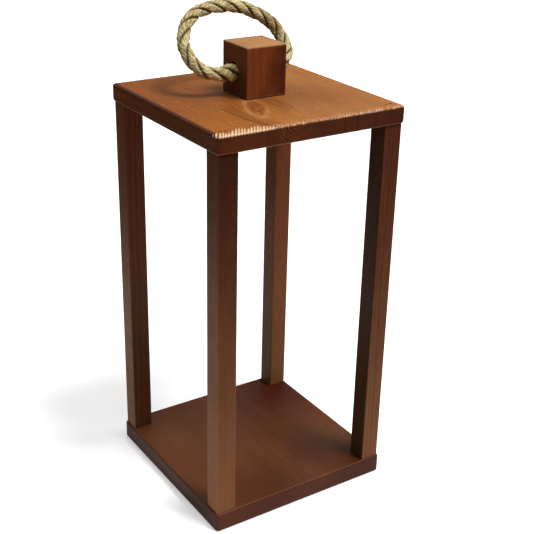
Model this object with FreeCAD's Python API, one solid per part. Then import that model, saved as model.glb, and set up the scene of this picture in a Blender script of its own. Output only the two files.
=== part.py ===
import FreeCAD, Part
import math
import os

# A hanging lantern of stained pine: a base board and a top board held apart by four square
# posts, with a bored block on the top board that carries a rope handle.
# Millimetres. +Z up, origin at the middle of the base board's underside.
# -Y is the face that shows the top board's end grain; the handle's bore runs along X.

# ---- driving dimensions ----------------------------------------------------------------
BODY_HEIGHT = 400.0          # ground to the top board's upper face
BOARD_SIDE = 200.0           # both boards are square
TOP_THICKNESS = 17.0
BASE_THICKNESS = 20.0
BOARD_CORNER_RADIUS = 4.0    # corners of the boards, seen from above
BOARD_ARRIS_RADIUS = 2.5     # edges along the boards' faces

POST_SIDE = 20.0
POST_INSET = 2.0             # board edge to the post's outer face
POST_ARRIS_RADIUS = 1.0

BLOCK_WIDTH = 43.0           # along X, the way the bore runs
BLOCK_DEPTH = 42.0           # along Y
BLOCK_HEIGHT = 48.0
BLOCK_OFFSET_X = 2.0         # the block stands a little off the top board's middle
BLOCK_OFFSET_Y = 5.0
BLOCK_ARRIS_RADIUS = 0.7
BORE_OFFSET_Y = 3.0          # the bore's axis, behind the block's middle
BORE_ABOVE_BOARD = 21.5      # the bore's axis above the top board

ROPE_DIAMETER = 12.0
ROPE_CLEARANCE = 3.0         # rope to the wall of its bore, all round
BORE_EDGE_CHAMFER = 0.6
HANDLE_LEAN = 40.0           # degrees that the loop leans back, from upright towards +Y
ROPE_GAP = 1.0               # between the two cut ends, where they meet in the bore

SLEEVE_LENGTH = 16.0         # tape sleeve that joins the rope's two ends
SLEEVE_WALL = 0.45
SLEEVE_FIT = 0.02            # sleeve to rope

PIN_DIAMETER = 1.8           # finishing pins through the top board into the posts
PIN_LENGTH = 40.0
PIN_HEAD_DIAMETER = 2.8
PIN_HEAD_THICKNESS = 1.0
PIN_SINK = 0.6               # head's top below the board's face
PIN_SPACING = 5.0            # the two pins of one post, along X

SCREW_DIAMETER = 4.0         # countersunk wood screws
SCREW_HEAD_DIAMETER = 7.6
SCREW_HEAD_RIM = 0.5         # straight rim of the head, above its cone
SCREW_SINK = 0.4             # head's face below the wood's face
SCREW_TIP = 6.0              # length of the pointed end
BASE_SCREW_LENGTH = 50.0
BLOCK_SCREW_LENGTH = 35.0
BLOCK_SCREW_STAGGER = 9.0    # the block's two screws, each this far from its middle along X
RECESS_SPAN = 4.0            # cross recess in a screw's head
RECESS_WIDTH = 0.9
RECESS_DEPTH = 1.6

FASTENER_FIT = 0.02          # wood to the shank or head of a pin or screw

# ---- sizes and places that follow --------------------------------------------------------
TOP_UNDERSIDE = BODY_HEIGHT - TOP_THICKNESS
POST_LENGTH = TOP_UNDERSIDE - BASE_THICKNESS
POST_CENTRE = BOARD_SIDE / 2 - POST_INSET - POST_SIDE / 2
POST_PLACES = {
    "front_left": (-POST_CENTRE, -POST_CENTRE),
    "front_right": (POST_CENTRE, -POST_CENTRE),
    "back_left": (-POST_CENTRE, POST_CENTRE),
    "back_right": (POST_CENTRE, POST_CENTRE),
}
BORE_RADIUS = ROPE_DIAMETER / 2 + ROPE_CLEARANCE
BORE_MIDDLE = FreeCAD.Vector(BLOCK_OFFSET_X, BLOCK_OFFSET_Y + BORE_OFFSET_Y,
                             BODY_HEIGHT + BORE_ABOVE_BOARD)

# The rope's route in the plane of its loop, counted from the middle of the bore: along the
# bore's axis, and away from that axis. It leaves the bore to the left, goes over the block
# and comes back in from the right, where it turns in close beside the block.
ROPE_ROUTE = [
    (-ROPE_GAP / 2, 0.0),
    (-15.5, 0.0),
    (-32.5, -1.5),
    (-49.5, 2.0),
    (-59.0, 12.0),
    (-63.0, 29.0),
    (-56.5, 47.5),
    (-42.0, 62.0),
    (-22.5, 68.0),
    (5.5, 67.5),
    (23.0, 60.0),
    (39.5, 46.5),
    (45.5, 27.0),
    (44.5, 11.5),
    (31.5, -0.5),
    (15.5, 0.0),
    (ROPE_GAP / 2, 0.0),
]
ARC_SHARE = 0.45             # of the shorter run, taken by the arc at a point of the route


def upright_cylinder(radius, bottom, top):
    return Part.makeCylinder(radius, top - bottom, FreeCAD.Vector(0, 0, bottom))


def is_upright(edge):
    """True for an edge that runs along Z only."""
    box = edge.BoundBox
    return box.ZLength > 1e-6 and box.XLength < 1e-6 and box.YLength < 1e-6


def lies_at(edge, height):
    """True for an edge that lies level at this height."""
    box = edge.BoundBox
    return box.ZLength < 1e-6 and abs(box.ZMin - height) < 1e-6


def board(bottom, thickness):
    """A square board with rounded corners and rounded long edges."""
    half = BOARD_SIDE / 2
    slab = Part.makeBox(BOARD_SIDE, BOARD_SIDE, thickness, FreeCAD.Vector(-half, -half, bottom))
    slab = slab.makeFillet(BOARD_CORNER_RADIUS, [e for e in slab.Edges if is_upright(e)])
    rims = [e for e in slab.Edges if lies_at(e, bottom) or lies_at(e, bottom + thickness)]
    return slab.makeFillet(BOARD_ARRIS_RADIUS, rims)


def post(x, y):
    """A square post with its four long edges eased and its ends cut square."""
    half = POST_SIDE / 2
    corner = FreeCAD.Vector(x - half, y - half, BASE_THICKNESS)
    stick = Part.makeBox(POST_SIDE, POST_SIDE, POST_LENGTH, corner)
    return stick.makeFillet(POST_ARRIS_RADIUS, [e for e in stick.Edges if is_upright(e)])


def block():
    """The handle block: eased edges above its foot, and a bore along X near half its height."""
    left = BLOCK_OFFSET_X - BLOCK_WIDTH / 2
    front = BLOCK_OFFSET_Y - BLOCK_DEPTH / 2
    solid = Part.makeBox(BLOCK_WIDTH, BLOCK_DEPTH, BLOCK_HEIGHT,
                         FreeCAD.Vector(left, front, BODY_HEIGHT))
    eased = [e for e in solid.Edges if not lies_at(e, BODY_HEIGHT)]
    solid = solid.makeFillet(BLOCK_ARRIS_RADIUS, eased)
    along_x = FreeCAD.Vector(1, 0, 0)
    start = FreeCAD.Vector(left, BORE_MIDDLE.y, BORE_MIDDLE.z)
    solid = solid.cut(Part.makeCylinder(BORE_RADIUS, BLOCK_WIDTH, start, along_x))
    mouth = BORE_RADIUS + BORE_EDGE_CHAMFER
    solid = solid.cut(Part.makeCone(mouth, BORE_RADIUS, BORE_EDGE_CHAMFER, start, along_x))
    end = start + along_x * BLOCK_WIDTH
    return solid.cut(Part.makeCone(mouth, BORE_RADIUS, BORE_EDGE_CHAMFER, end, -along_x))


def top_pin(spare=0.0):
    """A finishing pin, point down, its head below a face at height 0. spare widens it all
    round, which makes the cutter of its hole; the cutter is open up to the face."""
    head_top = spare if spare else -PIN_SINK
    head_foot = -PIN_SINK - PIN_HEAD_THICKNESS
    tip_start = -PIN_SINK - PIN_LENGTH + PIN_DIAMETER
    shank = upright_cylinder(PIN_DIAMETER / 2 + spare, tip_start, head_foot)
    head = upright_cylinder(PIN_HEAD_DIAMETER / 2 + spare, head_foot, head_top)
    tip = Part.makeCone(PIN_DIAMETER / 2 + spare, 0.2 + spare, PIN_DIAMETER + spare,
                        FreeCAD.Vector(0, 0, tip_start), FreeCAD.Vector(0, 0, -1))
    return head.fuse([shank, tip]).removeSplitter()


def wood_screw(length, spare=0.0):
    """A countersunk wood screw driven upwards, its face just above height 0. spare widens it
    all round, which makes the cutter of its hole; the cutter is open down to the face."""
    face = SCREW_SINK
    rim_top = face + SCREW_HEAD_RIM
    cone_top = rim_top + (SCREW_HEAD_DIAMETER - SCREW_DIAMETER) / 2
    tip_start = face + length - SCREW_TIP
    rim = upright_cylinder(SCREW_HEAD_DIAMETER / 2 + spare, -spare if spare else face, rim_top)
    cone = Part.makeCone(SCREW_HEAD_DIAMETER / 2 + spare, SCREW_DIAMETER / 2 + spare,
                         cone_top - rim_top, FreeCAD.Vector(0, 0, rim_top))
    shank = upright_cylinder(SCREW_DIAMETER / 2 + spare, cone_top, tip_start)
    tip = Part.makeCone(SCREW_DIAMETER / 2 + spare, 0.3 + spare, SCREW_TIP + spare,
                        FreeCAD.Vector(0, 0, tip_start))
    body = rim.fuse([cone, shank, tip]).removeSplitter()
    if spare:
        return body
    for width, depth in ((RECESS_SPAN, RECESS_WIDTH), (RECESS_WIDTH, RECESS_SPAN)):
        corner = FreeCAD.Vector(-width / 2, -depth / 2, face)
        body = body.cut(Part.makeBox(width, depth, RECESS_DEPTH, corner))
    return body


def block_screw_place(side):
    """Under the block, on one side (-1 front, 1 back) of the bore: halfway between the
    bore's wall and the block's outer face."""
    wall = BORE_OFFSET_Y + side * BORE_RADIUS
    face = side * BLOCK_DEPTH / 2
    return FreeCAD.Vector(BLOCK_OFFSET_X + side * BLOCK_SCREW_STAGGER,
                          BLOCK_OFFSET_Y + (wall + face) / 2, TOP_UNDERSIDE)


def loop_point(along, out):
    """A point of the rope's route, from the plane of its loop into the lantern's frame."""
    lean = math.radians(HANDLE_LEAN)
    return BORE_MIDDLE + FreeCAD.Vector(along, out * math.sin(lean), out * math.cos(lean))


def rope_path():
    """Straight runs joined by tangent arcs. Gives the wire and the arcs' radii."""
    points = [loop_point(along, out) for along, out in ROPE_ROUTE]
    edges = []
    radii = []
    here = points[0]
    for before, corner, after in zip(points, points[1:], points[2:]):
        run_in = before - corner
        run_out = after - corner
        reach = ARC_SHARE * min(run_in.Length, run_out.Length)
        half_turn = (math.pi - run_in.getAngle(run_out)) / 2
        radii.append(reach / math.tan(half_turn))
        run_in.normalize()
        run_out.normalize()
        bisector = run_in + run_out
        bisector.normalize()
        middle = corner + bisector * (radii[-1] * (1 / math.cos(half_turn) - 1))
        arc_start = corner + run_in * reach
        arc_end = corner + run_out * reach
        edges.append(Part.LineSegment(here, arc_start).toShape())
        edges.append(Part.Arc(arc_start, middle, arc_end).toShape())
        here = arc_end
    edges.append(Part.LineSegment(here, points[-1]).toShape())
    return Part.Wire(edges), radii


def rope():
    """The rope as a round tube along its route. Prints what the route measures."""
    path, radii = rope_path()
    profile = Part.Wire([Part.makeCircle(ROPE_DIAMETER / 2, loop_point(*ROPE_ROUTE[0]),
                                         FreeCAD.Vector(-1, 0, 0))])
    tube = path.makePipeShell([profile], True, True)
    expected = math.pi * (ROPE_DIAMETER / 2) ** 2 * path.Length
    print("rope length", round(path.Length, 1), "arc radii", [round(r, 1) for r in radii])
    print("rope volume over section times length", round(tube.Volume / expected, 4))
    return tube


def joint_sleeve():
    """The thin sleeve of tape that holds the rope's two ends together inside the bore."""
    inner = ROPE_DIAMETER / 2 + SLEEVE_FIT
    start = BORE_MIDDLE - FreeCAD.Vector(SLEEVE_LENGTH / 2, 0, 0)
    along_x = FreeCAD.Vector(1, 0, 0)
    outside = Part.makeCylinder(inner + SLEEVE_WALL, SLEEVE_LENGTH, start, along_x)
    return outside.cut(Part.makeCylinder(inner, SLEEVE_LENGTH, start, along_x))


def build():
    """All nodes by name. A fastener's hole is cut from the wood with the fastener's shape."""
    base = board(0.0, BASE_THICKNESS)
    top = board(TOP_UNDERSIDE, TOP_THICKNESS)
    handle_block = block()
    nodes = {}
    for corner, (x, y) in POST_PLACES.items():
        stick = post(x, y)
        outwards = math.copysign(1, x)
        for side, shift in (("outer", PIN_SPACING / 2), ("inner", -PIN_SPACING / 2)):
            place = FreeCAD.Vector(x + outwards * shift, y, BODY_HEIGHT)
            nodes["top_pin_" + corner + "_" + side] = top_pin().translated(place)
            cutter = top_pin(FASTENER_FIT).translated(place)
            top = top.cut(cutter)
            stick = stick.cut(cutter)
        place = FreeCAD.Vector(x, y, 0)
        nodes["base_screw_" + corner] = wood_screw(BASE_SCREW_LENGTH).translated(place)
        cutter = wood_screw(BASE_SCREW_LENGTH, FASTENER_FIT).translated(place)
        base = base.cut(cutter)
        nodes["post_" + corner] = stick.cut(cutter)
    for name, side in (("front", -1), ("back", 1)):
        place = block_screw_place(side)
        nodes["block_screw_" + name] = wood_screw(BLOCK_SCREW_LENGTH).translated(place)
        cutter = wood_screw(BLOCK_SCREW_LENGTH, FASTENER_FIT).translated(place)
        top = top.cut(cutter)
        handle_block = handle_block.cut(cutter)
    nodes["base_board"] = base
    nodes["top_board"] = top
    nodes["handle_block"] = handle_block
    nodes["handle_rope"] = rope()
    nodes["rope_joint_sleeve"] = joint_sleeve()
    return nodes


os.makedirs("parts", exist_ok=True)
for name, shape in sorted(build().items()):
    if not shape.isValid() or len(shape.Solids) != 1:
        raise ValueError(name + " is not one valid solid")
    shape.Solids[0].exportStep("parts/" + name + ".step")
    print(name, round(shape.Volume / 1000, 2), "cm3")
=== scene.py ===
"""A hanging lantern of stained pine with a rope handle: its looks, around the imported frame."""

import math

import bpy
import numpy as np
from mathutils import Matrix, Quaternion, Vector


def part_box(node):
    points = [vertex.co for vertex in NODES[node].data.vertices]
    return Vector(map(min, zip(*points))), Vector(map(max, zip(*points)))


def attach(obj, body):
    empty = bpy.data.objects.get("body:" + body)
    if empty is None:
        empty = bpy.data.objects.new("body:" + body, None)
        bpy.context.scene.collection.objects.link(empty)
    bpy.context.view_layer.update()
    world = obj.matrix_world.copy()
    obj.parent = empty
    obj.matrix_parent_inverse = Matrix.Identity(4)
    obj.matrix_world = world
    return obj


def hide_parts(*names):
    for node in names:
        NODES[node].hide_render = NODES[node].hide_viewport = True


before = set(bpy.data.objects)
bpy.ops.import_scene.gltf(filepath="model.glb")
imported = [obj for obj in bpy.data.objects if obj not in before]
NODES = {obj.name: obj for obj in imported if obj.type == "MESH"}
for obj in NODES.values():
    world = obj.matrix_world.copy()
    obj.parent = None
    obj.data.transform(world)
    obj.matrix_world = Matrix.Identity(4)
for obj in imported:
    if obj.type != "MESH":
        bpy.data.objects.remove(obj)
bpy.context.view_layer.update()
MM = 0.001

# ---- camera ----
CAMERA_AZIMUTH = -33.66  # degrees; 0 looks along +Y
CAMERA_ELEVATION = 24.27
CAMERA_ROLL = 1.33
CAMERA_DISTANCE = 1.0437
CAMERA_AIM = Vector((0.0125, -0.0083, 0.2226))
CAMERA_LENS = 69.92  # on a 36 mm sensor

# ---- the bore of the handle block, as in the part's source ----
BORE_OFFSET_Y = 3.0 * MM  # its axis, behind the block's middle
BORE_ABOVE_BOARD = 21.5 * MM
BORE_RADIUS = 9.0 * MM

# ---- the rope handle's route, as in the part's source, in metres ----
HANDLE_LEAN = math.radians(40.0)
ROPE_LENGTH = 0.290
ROPE_GAP = 1.0 * MM
ROPE_ROUTE = [
    (-ROPE_GAP / 2, 0.0),
    (-0.0155, 0.0),
    (-0.0325, -0.0015),
    (-0.0495, 0.0020),
    (-0.0590, 0.0120),
    (-0.0630, 0.0290),
    (-0.0565, 0.0475),
    (-0.0420, 0.0620),
    (-0.0225, 0.0680),
    (0.0055, 0.0675),
    (0.0230, 0.0600),
    (0.0395, 0.0465),
    (0.0455, 0.0270),
    (0.0445, 0.0115),
    (0.0315, -0.0005),
    (0.0155, 0.0),
    (ROPE_GAP / 2, 0.0),
]

# ---- how the rope is laid ----
STRANDS = 3
ROPE_LAY = 50 * MM  # one full turn of a strand, right-handed
STRAND_START = math.radians(-41)  # how the strands are turned at the rope's first end
YARN_LAY = -33 * MM  # one full turn of a yarn in its strand, the other way
YARNS = 7  # seen round a strand
STRAND_RADIUS = 3.3 * MM
STRAND_OFFSET = 2.95 * MM  # strand's middle to the rope's middle
STRAND_WIDENING = 1.14  # a strand is pressed wider than deep by its neighbours
STRAND_TAPER = 0.32  # and is narrower towards the rope's middle
GROOVE_DEPTH = 0.17  # between two yarns, as a share of the strand's radius
YARN_UNEVENNESS = 0.045
FLARE_PLACE = 25 * MM  # along the rope, where the strands open by the left mouth
FLARE_SPREAD = 9 * MM
FLARE = 1.8 * MM  # how much further from the middle the strands are there
FLARE_SWELL = 0.17  # and how much thicker
RIPPLE_WAVES = 14  # added up for each of the rope's uneven lines
RINGS_ALONG = 720
POINTS_ROUND = 36

# ---- the top board's marks ----
TOP_KNOT = (-0.0245, -0.043, 0.4)
# distance from the knot's middle across the grain, half width, strength
KNOT_RINGS = [
    (0.0295, 0.0016, 1.0),
    (0.0255, 0.0011, 0.85),
    (0.0190, 0.0011, 0.70),
    (0.0225, 0.0009, 0.55),
]
TOP_CHECKS = [-0.0315, 0.0307, 0.0446, 0.0655]  # X of fine dark checks in the front end grain
CHECK_WIDTH = 0.8 * MM  # from a check's middle to where it has faded
# where painted light makes the top board lighter
TOP_LIGHT_CORNER = (-0.060, -0.080, 0.4)
TOP_DARK_SPOT = (0.040, -0.030, 0.4)  # to the block's right
STROKE_SPACING = 3.1 * MM  # of the torn strokes along the front arris
STROKE_SLANT = -0.62  # a stroke runs 0.62 m along X for each metre inward
STROKE_JITTER = 9.0  # radians, over the whole range of its noise
STROKE_REACH_LEFT = 16 * MM  # the longest at either end of the arris
STROKE_REACH_RIGHT = 10 * MM

# ---- the base board's uneven colour, with painted shadow and sheen: the place, how far each
# reaches in full and at all, and what it does to the colour
BASE_SHADES = [
    ((0.075, 0.070, 0.02), 0.010, 0.085, (0.47, 0.30, 0.33)),
    ((-0.040, -0.095, 0.02), 0.010, 0.060, (0.72, 0.62, 0.60)),
    ((-0.065, 0.050, 0.02), 0.005, 0.060, (1.18, 1.30, 1.2)),
    # painted sheen on the right of the upper face
    ((0.075, -0.050, 0.02), 0.005, 0.045, (1.05, 1.40, 1.7)),
    # painted shadow of the front right post
    ((0.040, -0.055, 0.02), 0.004, 0.034, (0.72, 0.68, 0.74)),
    ((0.095, -0.105, 0.01), 0.020, 0.080, (0.64, 0.50, 0.32)),
]

# ---- the posts: pith, ring spacing, and painted light and shade for how the light and the floor's
# sheen fall on each post: how bright the left and right faces are, shade at the foot and the top,
# and how bright the foot is against the top on the front and back faces and on the left and right
# ones
POST_TIMBER = {
    "front_left": ((-0.150, -0.128, 0.0), 2.6 * MM, 2.15, 1.30, 0.40, 1.0, 0.64),
    "front_right": ((0.052, -0.140, 0.0), 3.1 * MM, 0.52, 1.12, 0.68, 1.0, 0.64),
    "back_left": ((-0.130, 0.160, 0.0), 2.8 * MM, 0.98, 0.98, 0.98, 0.52, 1.36),
    "back_right": ((0.140, 0.118, 0.0), 2.4 * MM, 0.82, 1.1, 1.05, 1.0, 1.0),
}

# ---- the pine's grain ----
ALONG_Y = (-math.pi / 2, 0, 0)  # turns a grain's own Z axis along the frame's Y
ALONG_Z = (0, 0, 0)
NO_KNOT = ((1, 1, 1), 0.01)  # far outside the lantern
KNOT_SLANT = -0.35
KNOT_FLATNESS = 0.38  # a knot's width over its length along the grain
KNOT_BULGE = 4.6  # rings that a knot pushes aside
RINGS_IN_KNOT = 1.7  # in one knot radius
FACE_BAND = 1.2 * MM  # over which a face's own shade fades out round its arrises

# ---- noise scales: about how many waves there are to a metre ----
SWAY_SCALE = 34
RIM_BREAK_SCALE = 75
FIBRE_SCALE = 1700
FLECK_SCALE = 1500
TONE_SCALE = 38
KNOT_CORE_SCALE = 190
KNOT_RING_SWAY_SCALE = 40
KNOT_RING_PATCH_SCALE = 50
WEAR_SCALE = 420
WEAR_PATCH_SCALE = 55
STROKE_JITTER_SCALE = 130
STROKE_RAGGED_SCALE = 330
STROKE_PATCH_SCALE = 60
EDGE_SCALE = 300
SPECK_SCALE = 330
NIB_SCALE = 340
RIM_HIGHLIGHT_SCALE = 190
BLOCK_CLOUD_SCALE = 60
GLOSS_CLOUD_SCALE = 70
DUST_SCALE = 900
BRUSH_SCALE = 160
ROPE_PALE_SCALE = 60
WISP_SCALE = 140
WEAVE_SCALE = 420
TAPE_SPOT_SCALE = 260
STEEL_MOTTLE_SCALE = 700
STEEL_SCRATCH_SCALE = 4200
PAPER_MOTTLE_SCALE = 9
THREAD_SCALE = 11  # these two are to a strand's radius
BLOTCH_SCALE = 3.0

# ---- how deep each material's relief is ----
VARNISH_RELIEF = 0.12 * MM
ROPE_RELIEF = 0.5 * MM
WISP_RELIEF = 0.1 * MM
TAPE_RELIEF = 0.2 * MM
STEEL_RELIEF = 0.05 * MM
PAPER_RELIEF = 0.1 * MM

# ---- colours of marks and stains, and of painted highlight and shade: linear red, green and blue ----
RING_END_SHADE = (0.35, 0.3, 0.3)  # what rings do to the colour where they are cut across
KNOT_RING_STAIN = (0.10, 0.026, 0.005)
TOP_DARK_TONE = (0.10, 0.036, 0.010)
NIB_COLOUR = (0.80, 0.55, 0.32)
CHECK_COLOUR = (0.012, 0.004, 0.002)
ARRIS_STAIN = (0.055, 0.011, 0.003)
TORN_WOOD = (0.80, 0.58, 0.36)
# painted highlight on the edges of the bore's mouths
BORE_RIM_HIGHLIGHT = (0.16, 0.075, 0.04)
# painted shade inside the bore
BORE_WALL_SHADE = (0.02, 0.008, 0.004)
BLOCK_FOOT_TONE = (0.03, 0.009, 0.004)
BLOCK_CLOUD_TONE = (0.045, 0.008, 0.003)
DARK_THREAD = (0.42, 0.31, 0.11)
PALE_THREAD = (1.0, 0.89, 0.47)
BROWN_THREAD = (0.21, 0.12, 0.034)
ROPE_RIGHT_BROWN = (0.24, 0.10, 0.022)
BLEACHED_ROPE = (1.0, 0.92, 0.52)
# painted shade in the rope's grooves and between its strands
YARN_GROOVE_SHADE = (0.13, 0.075, 0.022)
STRAND_GAP_SHADE = (0.11, 0.06, 0.018)
DARK_WISP = (0.40, 0.29, 0.12)
PALE_WISP = (0.86, 0.74, 0.44)

# ---- light ----
TOWARD_KEY = (0.22, -0.38, 0.90)
KEY_STRENGTH = 2.25
KEY_SOFTNESS = math.radians(18)
SIDE_PLACE = (0.85, -0.35, 0.95)  # a small soft light beside the lantern, to the right
SIDE_SIZE = 0.45
SIDE_POWER = 3.4
SKY_ZENITH = 0.75  # the sky's strength overhead
SKY_HORIZON = 0.10
PAPER_RADIUS = 0.42  # the bright part of the floor that lights the lantern
PAPER_FALL = 0.50  # how far beyond it that light has gone
FLOOR_REACH = 8.0
FLOOR_GLOW = 0.30  # lifts the floor to white where the camera sees it

# ---- loose fibres on the rope ----
WISPS = 340
WISP_RADIUS = 0.085 * MM
WISP_RINGS = 7
WISP_SIDES = 3
FRAYED = 30  # of the wisps, those that stand off near the left mouth
FRAYED_LIFT = 2.6  # how much more these lift off the rope
FRAYED_THICKNESS = 2.0  # and how much thicker they are


def link(thing):
    """Puts an object into the scene."""
    bpy.context.scene.collection.objects.link(thing)


def box_middle(node):
    """The middle of a node's box."""
    low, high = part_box(node)
    return (low + high) / 2


def box_half(node):
    """Half the size of a node's box."""
    low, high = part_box(node)
    return (high - low) / 2


# ==== camera ====
def make_camera():
    """The camera on a sphere round its aim, looking at it, turned by its roll."""
    azimuth = math.radians(CAMERA_AZIMUTH)
    elevation = math.radians(CAMERA_ELEVATION)
    back = Vector((math.sin(azimuth) * math.cos(elevation),
                   -math.cos(azimuth) * math.cos(elevation),
                   math.sin(elevation)))
    data = bpy.data.cameras.new("camera")
    data.lens = CAMERA_LENS
    data.sensor_width = 36
    camera = bpy.data.objects.new("camera", data)
    camera.location = CAMERA_AIM + back * CAMERA_DISTANCE
    roll = Quaternion((0, 0, 1), math.radians(CAMERA_ROLL))
    camera.rotation_mode = "QUATERNION"
    camera.rotation_quaternion = (-back).to_track_quat("-Z", "Y") @ roll
    link(camera)
    bpy.context.scene.camera = camera


# ==== meshes from arrays ====
def mesh_object(name, points, quads, smooth=True):
    """An object with this mesh, its place in its points, linked to the scene."""
    mesh = bpy.data.meshes.new(name)
    mesh.from_pydata(points, [], quads)
    mesh.polygons.foreach_set("use_smooth", np.full(len(mesh.polygons), smooth))
    mesh.update()
    piece = bpy.data.objects.new(name, mesh)
    link(piece)
    return piece


def point_attribute(piece, name, kind, values):
    """Stores one value or vector for each point of the piece, for its material."""
    attribute = piece.data.attributes.new(name, kind, "POINT")
    field = "vector" if kind == "FLOAT_VECTOR" else "value"
    attribute.data.foreach_set(field, np.asarray(values, np.float32).ravel())


def tube_quads(rings, around, first=0):
    """Quads of a tube of rings joined one to the next, each ring closed on itself."""
    ring = np.arange(rings - 1)[:, None] * around
    spot = np.arange(around)[None, :]
    after = (spot + 1) % around
    quads = np.stack([ring + spot, ring + after, ring + around + after, ring + around + spot], -1)
    return quads.reshape(-1, 4) + first


def ripple(across, along, seed, finest=9):
    """Smooth random waves: a sum of cosines of whole numbers of turns across and random
    frequencies along, about -1 to 1, the same for the same seed."""
    rng = np.random.default_rng(seed)
    total = np.zeros(np.broadcast(across, along).shape)
    for _ in range(RIPPLE_WAVES):
        turns = rng.integers(-finest, finest + 1)
        rate = rng.uniform(0.3, 1.0) * finest
        total += np.cos(turns * across + rate * along + rng.uniform(0, 2 * math.pi))
    return total / math.sqrt(RIPPLE_WAVES)


# ==== rope ====
def loop_to_frame(along, out, side=0.0):
    """From the plane of the loop, which leans back about the bore's axis, into the frame."""
    sine, cosine = math.sin(HANDLE_LEAN), math.cos(HANDLE_LEAN)
    place = np.stack(np.broadcast_arrays(
        np.asarray(along, float), out * sine - side * cosine, out * cosine + side * sine), -1)
    return place + np.array(BORE_MIDDLE)


def route_curve():
    """The rope's centreline as one NURBS spline, whose control points are the route's."""
    data = bpy.data.curves.new("rope_route", "CURVE")
    data.dimensions = "3D"
    data.resolution_u = 48
    spline = data.splines.new("NURBS")
    spline.points.add(len(ROPE_ROUTE) - 1)
    for point, (along, out) in zip(spline.points, ROPE_ROUTE):
        point.co = (*loop_to_frame(along, out), 1.0)
    spline.order_u = 3
    spline.use_endpoint_u = True
    return bpy.data.objects.new("rope_route", data)


def route_line(count):
    """Evenly spaced points of the spline, their directions, and how far along each one is."""
    curve = route_curve()
    link(curve)
    depsgraph = bpy.context.evaluated_depsgraph_get()
    mesh = bpy.data.meshes.new_from_object(curve.evaluated_get(depsgraph))
    line = np.empty(len(mesh.vertices) * 3)
    mesh.vertices.foreach_get("co", line)
    line = line.reshape(-1, 3)
    bpy.data.objects.remove(curve)
    bpy.data.meshes.remove(mesh)
    steps = np.linalg.norm(np.diff(line, axis=0), axis=1)
    travelled = np.concatenate([[0.0], np.cumsum(steps)])
    along = np.linspace(0, travelled[-1], count)
    points = np.stack([np.interp(along, travelled, line[:, axis]) for axis in range(3)], -1)
    ahead = np.gradient(points, axis=0)
    ahead /= np.linalg.norm(ahead, axis=1, keepdims=True)
    return points, ahead, along


def strand_surface(points, ahead, along, number):
    """One strand. Its middle winds round the rope's line at STRAND_OFFSET, once in ROPE_LAY,
    and further out where the rope opens before the bore's left mouth, where it is thicker
    too. Its section is a circle pressed wider across, and narrower towards the rope's
    middle. The radius dips between each two yarns; the dips wind the other way, once in
    YARN_LAY, and ripples make the yarns uneven. Gives the points, ring by ring, and at each
    point how much it is in a groove, how deep in the rope it lies and where it is among the
    fibres."""
    side = loop_to_frame(0, 0, 1.0) - loop_to_frame(0, 0, 0.0)
    inward = np.cross(side, ahead)
    turn = (STRAND_START + 2 * math.pi * (along / ROPE_LAY + number / STRANDS))[:, None]
    angle = np.linspace(0, 2 * math.pi, POINTS_ROUND, endpoint=False)[None, :]
    yarn_turn = angle + turn - 2 * math.pi * along[:, None] / YARN_LAY
    drift = 0.45 * ripple(yarn_turn * 0, along[:, None] / (9 * MM), seed=31 + number, finest=3)
    groove = 1 - np.abs(np.sin((yarn_turn + drift) * YARNS / 2)) ** 0.6
    uneven = ripple(yarn_turn, along[:, None] / (7 * MM), seed=41 + number)
    radius = STRAND_RADIUS * (1 - GROOVE_DEPTH * groove + YARN_UNEVENNESS * uneven)
    swell = 1 + 0.03 * ripple(turn * 0, along[:, None] / (11 * MM), seed=51 + number)
    flare = np.exp(-((along - FLARE_PLACE) / FLARE_SPREAD) ** 2)[:, None]
    radius = radius * swell * (1 + FLARE_SWELL * flare)
    opening = FLARE * flare
    out = STRAND_OFFSET + opening + radius * np.cos(angle)
    across = radius * STRAND_WIDENING * np.sin(angle) * (1 + STRAND_TAPER * np.cos(angle))
    sideways = out * np.cos(turn) - across * np.sin(turn)
    upways = out * np.sin(turn) + across * np.cos(turn)
    surface = (points[:, None, :] + inward[:, None, :] * sideways[..., None]
               + side * upways[..., None])
    depth = 1 - np.hypot(sideways, upways) / (STRAND_OFFSET + opening + STRAND_RADIUS)
    fibre = np.stack([np.cos(yarn_turn + drift), np.sin(yarn_turn + drift),
                      np.broadcast_to(along[:, None] / STRAND_RADIUS, yarn_turn.shape)], -1)
    return surface, np.maximum(groove, 0), depth, fibre


def make_rope():
    """The three strands as one piece, each closed at its cut ends. Gives the piece, the
    rope's centreline and the directions it runs in, and the strands' points, ring by ring."""
    points, ahead, along = route_line(RINGS_ALONG)
    parts = [strand_surface(points, ahead, along, number) for number in range(STRANDS)]
    per_strand = RINGS_ALONG * POINTS_ROUND
    faces = []
    for n in range(STRANDS):
        faces += tube_quads(RINGS_ALONG, POINTS_ROUND, n * per_strand)[:, ::-1].tolist()
        start = np.arange(POINTS_ROUND) + n * per_strand
        faces.append(start.tolist())
        faces.append((start[::-1] + per_strand - POINTS_ROUND).tolist())
    surface, groove, depth, fibre = (np.concatenate(values) for values in zip(*parts))
    piece = mesh_object("handle_rope_strands", surface.reshape(-1, 3), faces)
    point_attribute(piece, "groove", "FLOAT", groove)
    point_attribute(piece, "depth", "FLOAT", depth)
    point_attribute(piece, "fibre", "FLOAT_VECTOR", fibre)
    return piece, points, ahead, surface


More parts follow.
